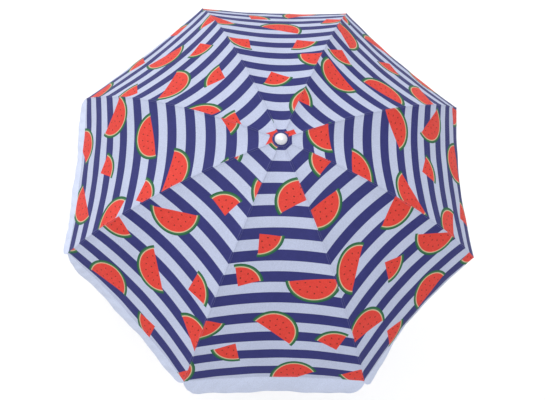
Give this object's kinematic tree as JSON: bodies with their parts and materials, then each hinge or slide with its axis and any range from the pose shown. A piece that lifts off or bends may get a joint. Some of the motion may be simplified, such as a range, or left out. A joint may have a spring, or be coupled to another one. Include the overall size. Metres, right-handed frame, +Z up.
{
  "type": "beach umbrella",
  "caption": "Beach umbrella with a gored dome canopy on curved hinged ribs and stretchers, a sliding runner, a tilt joint and a two-piece height-adjustable pole.",
  "frame": {"origin": "centre of the lower pole's bottom end, where a stand's socket or the sand starts to hold it", "axes": "+Z up along the pole; tilt turns about Y, towards +X; the lock knob faces -X"},
  "size_m": [1.5902, 1.5902, 2.0186],
  "materials": {
    "white_plastic": "moulded white plastic",
    "cap_plastic": "polished white plastic",
    "grey_plastic": "moulded grey plastic",
    "white_paint": "white powder coat on steel tube and castings",
    "steel": "bright zinc-plated spring wire",
    "canopy_cloth": "plain-weave polyester printed with navy and white stripes and fruit slices",
    "valance_cloth": "plain-weave white polyester"
  },
  "bodies": {
    "pole": {"foot_spike": "grey_plastic", "lower_pole": "white_paint", "clamp_collar": "white_plastic"},
    "knob": {"lock_knob": "white_plastic", "lock_screw": "steel"},
    "mid": {"mid_pole": "white_paint", "tilt_socket": "white_paint"},
    "tilt_release": {"tilt_button": "grey_plastic", "tilt_button_spring": "steel"},
    "mast": {"tilt_head": "white_paint", "tilt_pivot_pin": "steel", "upper_mast": "white_paint", "crown_hub": "white_plastic", "crown_ring_wire": "steel", "canopy_top_patch": "canopy_cloth", "finial": "cap_plastic"},
    "slider": {"runner": "white_plastic", "runner_ring_wire": "steel"},
    "slider_release": {"runner_button": "grey_plastic"},
    "rib_arm_0": {"rib_0": "steel", "rib_tip_0": "white_plastic", "canopy_0": "canopy_cloth"},
    "strut_0": {"stretcher_0": "steel"},
    "flap_0": {"valance_0": "valance_cloth"},
    "rib_arm_1": {"rib_1": "steel", "rib_tip_1": "white_plastic", "canopy_1": "canopy_cloth"},
    "strut_1": {"stretcher_1": "steel"},
    "flap_1": {"valance_1": "valance_cloth"},
    "rib_arm_2": {"rib_2": "steel", "rib_tip_2": "white_plastic", "canopy_2": "canopy_cloth"},
    "strut_2": {"stretcher_2": "steel"},
    "flap_2": {"valance_2": "valance_cloth"},
    "rib_arm_3": {"rib_3": "steel", "rib_tip_3": "white_plastic", "canopy_3": "canopy_cloth"},
    "strut_3": {"stretcher_3": "steel"},
    "flap_3": {"valance_3": "valance_cloth"},
    "rib_arm_4": {"rib_4": "steel", "rib_tip_4": "white_plastic", "canopy_4": "canopy_cloth"},
    "strut_4": {"stretcher_4": "steel"},
    "flap_4": {"valance_4": "valance_cloth"},
    "rib_arm_5": {"rib_5": "steel", "rib_tip_5": "white_plastic", "canopy_5": "canopy_cloth"},
    "strut_5": {"stretcher_5": "steel"},
    "flap_5": {"valance_5": "valance_cloth"},
    "rib_arm_6": {"rib_6": "steel", "rib_tip_6": "white_plastic", "canopy_6": "canopy_cloth"},
    "strut_6": {"stretcher_6": "steel"},
    "flap_6": {"valance_6": "valance_cloth"},
    "rib_arm_7": {"rib_7": "steel", "rib_tip_7": "white_plastic", "canopy_7": "canopy_cloth"},
    "strut_7": {"stretcher_7": "steel"},
    "flap_7": {"valance_7": "valance_cloth"}
  },
  "joints": [
    {"name": "height_slide", "type": "slide", "parent": "pole", "child": "mid", "axis": [0, 0, 1], "range_m": [-0.3, 0.05]},
    {"name": "lock_knob_turn", "type": "hinge", "parent": "pole", "child": "knob", "pos_m": [-0.0276, 0, 0.64], "axis": [-1, 0, 0], "range_deg": [0, 270]},
    {"name": "tilt", "type": "hinge", "parent": "mid", "child": "mast", "pos_m": [0, 0, 1.04], "axis": [0, 1, 0], "range_deg": [0, 45]},
    {"name": "tilt_button_press", "type": "slide", "parent": "mid", "child": "tilt_release", "axis": [-1, 0, 0], "range_m": [0, 0.003], "stiffness_N_per_m": 800, "springref_m": -0.003},
    {"name": "runner_slide", "type": "slide", "parent": "mast", "child": "slider", "axis": [0, 0, -1], "range_m": [0, 0.48272]},
    {"name": "runner_button_press", "type": "slide", "parent": "slider", "child": "slider_release", "axis": [-1, 0, 0], "range_m": [0, 0.003], "stiffness_N_per_m": 800, "springref_m": -0.003},
    {"name": "rib_hinge_0", "type": "hinge", "parent": "mast", "child": "rib_arm_0", "pos_m": [0.01386, 0.00574, 1.9234], "axis": [-0.3827, 0.9239, 0], "range_deg": [0, 62.01], "deforming": ["canopy_0"]},
    {"name": "stretcher_hinge_0", "type": "hinge", "parent": "rib_arm_0", "child": "strut_0", "pos_m": [0.34832, 0.14428, 1.84851], "axis": [0.3827, -0.9239, 0], "range_deg": [0, 109.07]},
    {"name": "valance_hinge_0", "type": "hinge", "parent": "rib_arm_0", "child": "flap_0", "pos_m": [0.73945, 0.30629, 1.5792], "axis": [0.3827, -0.9239, 0], "range_deg": [0, 62.01], "deforming": ["valance_0"]},
    {"name": "rib_hinge_1", "type": "hinge", "parent": "mast", "child": "rib_arm_1", "pos_m": [0.00574, 0.01386, 1.9234], "axis": [-0.9239, 0.3827, 0], "range_deg": [0, 62.01], "deforming": ["canopy_1"]},
    {"name": "stretcher_hinge_1", "type": "hinge", "parent": "rib_arm_1", "child": "strut_1", "pos_m": [0.14428, 0.34832, 1.84851], "axis": [0.9239, -0.3827, 0], "range_deg": [0, 109.07]},
    {"name": "valance_hinge_1", "type": "hinge", "parent": "rib_arm_1", "child": "flap_1", "pos_m": [0.30629, 0.73945, 1.5792], "axis": [0.9239, -0.3827, 0], "range_deg": [0, 62.01], "deforming": ["valance_1"]},
    {"name": "rib_hinge_2", "type": "hinge", "parent": "mast", "child": "rib_arm_2", "pos_m": [-0.00574, 0.01386, 1.9234], "axis": [-0.9239, -0.3827, 0], "range_deg": [0, 62.01], "deforming": ["canopy_2"]},
    {"name": "stretcher_hinge_2", "type": "hinge", "parent": "rib_arm_2", "child": "strut_2", "pos_m": [-0.14428, 0.34832, 1.84851], "axis": [0.9239, 0.3827, 0], "range_deg": [0, 109.07]},
    {"name": "valance_hinge_2", "type": "hinge", "parent": "rib_arm_2", "child": "flap_2", "pos_m": [-0.30629, 0.73945, 1.5792], "axis": [0.9239, 0.3827, 0], "range_deg": [0, 62.01], "deforming": ["valance_2"]},
    {"name": "rib_hinge_3", "type": "hinge", "parent": "mast", "child": "rib_arm_3", "pos_m": [-0.01386, 0.00574, 1.9234], "axis": [-0.3827, -0.9239, 0], "range_deg": [0, 62.01], "deforming": ["canopy_3"]},
    {"name": "stretcher_hinge_3", "type": "hinge", "parent": "rib_arm_3", "child": "strut_3", "pos_m": [-0.34832, 0.14428, 1.84851], "axis": [0.3827, 0.9239, 0], "range_deg": [0, 109.07]},
    {"name": "valance_hinge_3", "type": "hinge", "parent": "rib_arm_3", "child": "flap_3", "pos_m": [-0.73945, 0.30629, 1.5792], "axis": [0.3827, 0.9239, 0], "range_deg": [0, 62.01], "deforming": ["valance_3"]},
    {"name": "rib_hinge_4", "type": "hinge", "parent": "mast", "child": "rib_arm_4", "pos_m": [-0.01386, -0.00574, 1.9234], "axis": [0.3827, -0.9239, 0], "range_deg": [0, 62.01], "deforming": ["canopy_4"]},
    {"name": "stretcher_hinge_4", "type": "hinge", "parent": "rib_arm_4", "child": "strut_4", "pos_m": [-0.34832, -0.14428, 1.84851], "axis": [-0.3827, 0.9239, 0], "range_deg": [0, 109.07]},
    {"name": "valance_hinge_4", "type": "hinge", "parent": "rib_arm_4", "child": "flap_4", "pos_m": [-0.73945, -0.30629, 1.5792], "axis": [-0.3827, 0.9239, 0], "range_deg": [0, 62.01], "deforming": ["valance_4"]},
    {"name": "rib_hinge_5", "type": "hinge", "parent": "mast", "child": "rib_arm_5", "pos_m": [-0.00574, -0.01386, 1.9234], "axis": [0.9239, -0.3827, 0], "range_deg": [0, 62.01], "deforming": ["canopy_5"]},
    {"name": "stretcher_hinge_5", "type": "hinge", "parent": "rib_arm_5", "child": "strut_5", "pos_m": [-0.14428, -0.34832, 1.84851], "axis": [-0.9239, 0.3827, 0], "range_deg": [0, 109.07]},
    {"name": "valance_hinge_5", "type": "hinge", "parent": "rib_arm_5", "child": "flap_5", "pos_m": [-0.30629, -0.73945, 1.5792], "axis": [-0.9239, 0.3827, 0], "range_deg": [0, 62.01], "deforming": ["valance_5"]},
    {"name": "rib_hinge_6", "type": "hinge", "parent": "mast", "child": "rib_arm_6", "pos_m": [0.00574, -0.01386, 1.9234], "axis": [0.9239, 0.3827, 0], "range_deg": [0, 62.01], "deforming": ["canopy_6"]},
    {"name": "stretcher_hinge_6", "type": "hinge", "parent": "rib_arm_6", "child": "strut_6", "pos_m": [0.14428, -0.34832, 1.84851], "axis": [-0.9239, -0.3827, 0], "range_deg": [0, 109.07]},
    {"name": "valance_hinge_6", "type": "hinge", "parent": "rib_arm_6", "child": "flap_6", "pos_m": [0.30629, -0.73945, 1.5792], "axis": [-0.9239, -0.3827, 0], "range_deg": [0, 62.01], "deforming": ["valance_6"]},
    {"name": "rib_hinge_7", "type": "hinge", "parent": "mast", "child": "rib_arm_7", "pos_m": [0.01386, -0.00574, 1.9234], "axis": [0.3827, 0.9239, 0], "range_deg": [0, 62.01], "deforming": ["canopy_7"]},
    {"name": "stretcher_hinge_7", "type": "hinge", "parent": "rib_arm_7", "child": "strut_7", "pos_m": [0.34832, -0.14428, 1.84851], "axis": [-0.3827, -0.9239, 0], "range_deg": [0, 109.07]},
    {"name": "valance_hinge_7", "type": "hinge", "parent": "rib_arm_7", "child": "flap_7", "pos_m": [0.73945, -0.30629, 1.5792], "axis": [-0.3827, -0.9239, 0], "range_deg": [0, 62.01], "deforming": ["valance_7"]}
  ],
  "couplings": [
    {"joint": "rib_hinge_0", "follows": "runner_slide", "rad_per_m": 2.2417},
    {"joint": "stretcher_hinge_0", "follows": "runner_slide", "rad_per_m": 3.9429},
    {"joint": "valance_hinge_0", "follows": "runner_slide", "rad_per_m": 2.2417},
    {"joint": "rib_hinge_1", "follows": "runner_slide", "rad_per_m": 2.2417},
    {"joint": "stretcher_hinge_1", "follows": "runner_slide", "rad_per_m": 3.9429},
    {"joint": "valance_hinge_1", "follows": "runner_slide", "rad_per_m": 2.2417},
    {"joint": "rib_hinge_2", "follows": "runner_slide", "rad_per_m": 2.2417},
    {"joint": "stretcher_hinge_2", "follows": "runner_slide", "rad_per_m": 3.9429},
    {"joint": "valance_hinge_2", "follows": "runner_slide", "rad_per_m": 2.2417},
    {"joint": "rib_hinge_3", "follows": "runner_slide", "rad_per_m": 2.2417},
    {"joint": "stretcher_hinge_3", "follows": "runner_slide", "rad_per_m": 3.9429},
    {"joint": "valance_hinge_3", "follows": "runner_slide", "rad_per_m": 2.2417},
    {"joint": "rib_hinge_4", "follows": "runner_slide", "rad_per_m": 2.2417},
    {"joint": "stretcher_hinge_4", "follows": "runner_slide", "rad_per_m": 3.9429},
    {"joint": "valance_hinge_4", "follows": "runner_slide", "rad_per_m": 2.2417},
    {"joint": "rib_hinge_5", "follows": "runner_slide", "rad_per_m": 2.2417},
    {"joint": "stretcher_hinge_5", "follows": "runner_slide", "rad_per_m": 3.9429},
    {"joint": "valance_hinge_5", "follows": "runner_slide", "rad_per_m": 2.2417},
    {"joint": "rib_hinge_6", "follows": "runner_slide", "rad_per_m": 2.2417},
    {"joint": "stretcher_hinge_6", "follows": "runner_slide", "rad_per_m": 3.9429},
    {"joint": "valance_hinge_6", "follows": "runner_slide", "rad_per_m": 2.2417},
    {"joint": "rib_hinge_7", "follows": "runner_slide", "rad_per_m": 2.2417},
    {"joint": "stretcher_hinge_7", "follows": "runner_slide", "rad_per_m": 3.9429},
    {"joint": "valance_hinge_7", "follows": "runner_slide", "rad_per_m": 2.2417}
  ]
}
